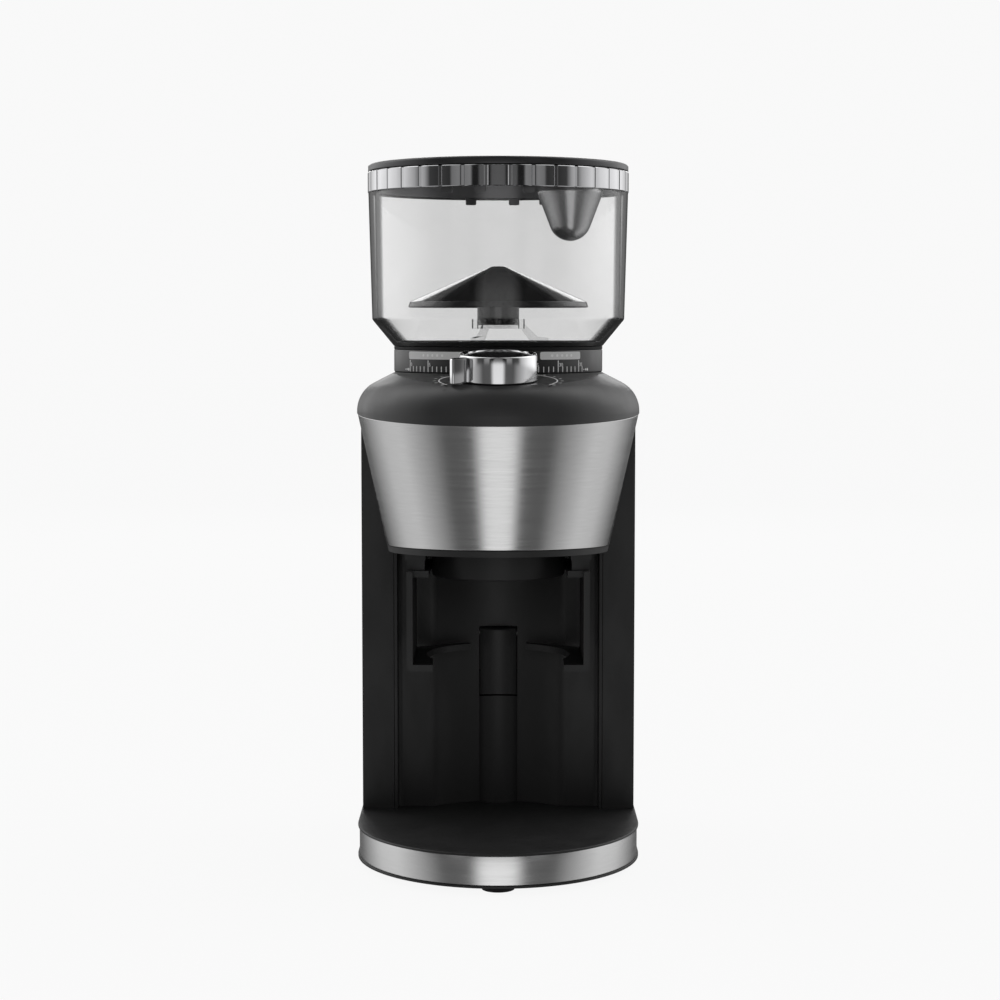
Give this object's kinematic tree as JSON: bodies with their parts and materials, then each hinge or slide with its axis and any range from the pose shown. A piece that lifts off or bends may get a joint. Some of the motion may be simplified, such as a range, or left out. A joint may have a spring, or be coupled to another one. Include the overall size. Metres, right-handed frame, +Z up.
{
  "type": "burr coffee grinder",
  "caption": "Upright conical burr coffee grinder with a clear bean hopper, numbered grind collar, dial, steel-banded head and an open bay with a portafilter cradle.",
  "frame": {"origin": "on the table under the middle of the outline", "axes": "+Z up, front facing -Y, +X to the viewer's right"},
  "size_m": [0.1516, 0.19, 0.376],
  "materials": {
    "black_plastic": "fine satin texture",
    "satin_plastic": "satin, fine grain",
    "brushed_steel": "brushed, clear satin",
    "bright_chrome": "polished",
    "gloss_plastic": "polished",
    "lid_plastic": "smoked, polished",
    "clear_plastic": "clear, slightly grey",
    "rubber": "matte",
    "tool_steel": "ground",
    "motor_steel": "zinc plated",
    "brass": "machined",
    "inner_plastic": "moulded, natural",
    "magnet": "sintered",
    "circuit_board": "solder mask"
  },
  "bodies": {
    "housing": {"base_tray": "black_plastic", "base_band": "brushed_steel", "base_deck": "black_plastic", "rubber_feet": "rubber", "base_screws": "tool_steel", "tower_shell": "black_plastic", "recess_wall": "black_plastic", "paddle_pin": "tool_steel", "paddle_spring": "tool_steel", "paddle_switch": "inner_plastic", "cord_gland": "black_plastic", "head_band": "brushed_steel", "head_shell": "black_plastic", "chin_plate": "black_plastic", "spout_collar": "black_plastic", "portafilter_cradle": "black_plastic", "shoulder_cover": "satin_plastic", "burr_housing": "inner_plastic", "grounds_chute": "inner_plastic", "upper_bearing": "tool_steel", "lower_bearing": "tool_steel", "idler_pin": "tool_steel", "gear_case": "inner_plastic", "gear_cover": "inner_plastic", "motor_can": "motor_steel", "motor_end_cap": "motor_steel", "motor_bearings": "tool_steel", "motor_magnets": "magnet", "power_board": "circuit_board", "dial_encoder": "inner_plastic", "control_board": "circuit_board"},
    "drive": {"drive_shaft": "tool_steel", "inner_burr": "tool_steel", "burr_bolt": "tool_steel", "impeller": "inner_plastic", "output_gear": "inner_plastic"},
    "idler": {"idler_gear": "inner_plastic"},
    "rotor": {"rotor_shaft": "tool_steel", "armature": "motor_steel", "commutator": "brass", "motor_fan": "inner_plastic", "motor_pinion": "brass"},
    "collar": {"grind_collar": "satin_plastic"},
    "carrier": {"burr_carrier": "inner_plastic", "outer_burr": "tool_steel"},
    "hopper": {"hopper_bowl": "clear_plastic", "rim_band": "clear_plastic", "hopper_gasket": "rubber", "bean_guard": "gloss_plastic", "guard_spider": "clear_plastic"},
    "lid": {"hopper_lid": "lid_plastic", "lid_gasket": "rubber"},
    "dial": {"dial_knob": "bright_chrome", "dial_insert": "gloss_plastic", "dial_shaft": "inner_plastic"},
    "button": {"start_button": "gloss_plastic"},
    "paddle": {"start_paddle": "black_plastic"}
  },
  "joints": [
    {"name": "drive_spin", "type": "hinge", "parent": "housing", "child": "drive", "pos_m": [0, 0.019, 0.21], "axis": [0, 0, 1], "continuous": true},
    {"name": "idler_spin", "type": "hinge", "parent": "housing", "child": "idler", "pos_m": [0.01338, 0.04807, 0.19], "axis": [0, 0, 1], "continuous": true},
    {"name": "rotor_spin", "type": "hinge", "parent": "housing", "child": "rotor", "pos_m": [0, 0.068, 0.14], "axis": [0, 0, 1], "continuous": true},
    {"name": "collar_turn", "type": "hinge", "parent": "housing", "child": "collar", "pos_m": [0, 0.019, 0.27], "axis": [0, 0, 1], "range_deg": [-52, 52]},
    {"name": "burr_height", "type": "slide", "parent": "collar", "child": "carrier", "axis": [0, 0, 1], "range_m": [-0.0005, 0.0005]},
    {"name": "hopper_lift", "type": "slide", "parent": "collar", "child": "hopper", "axis": [0, 0, 1], "range_m": [0, 0.09]},
    {"name": "lid_lift", "type": "slide", "parent": "hopper", "child": "lid", "axis": [0, 0, 1], "range_m": [0, 0.08]},
    {"name": "dial_turn", "type": "hinge", "parent": "housing", "child": "dial", "pos_m": [0, -0.0652, 0.2606], "axis": [0, -0.0995, 0.995], "range_deg": [-75, 185]},
    {"name": "button_press", "type": "slide", "parent": "dial", "child": "button", "axis": [0, 0.0995, -0.995], "range_m": [0, 0.0012], "stiffness_N_per_m": 600, "springref_m": -0.001},
    {"name": "paddle_press", "type": "hinge", "parent": "housing", "child": "paddle", "pos_m": [0, 0.036, 0.116], "axis": [1, 0, 0], "range_deg": [0, 6], "stiffness_Nm_per_rad": 0.15, "springref_deg": -5.73}
  ],
  "couplings": [
    {"joint": "idler_spin", "follows": "drive_spin", "ratio": -3},
    {"joint": "rotor_spin", "follows": "drive_spin", "ratio": 9},
    {"joint": "burr_height", "follows": "collar_turn", "m_per_rad": 0.00047746}
  ]
}
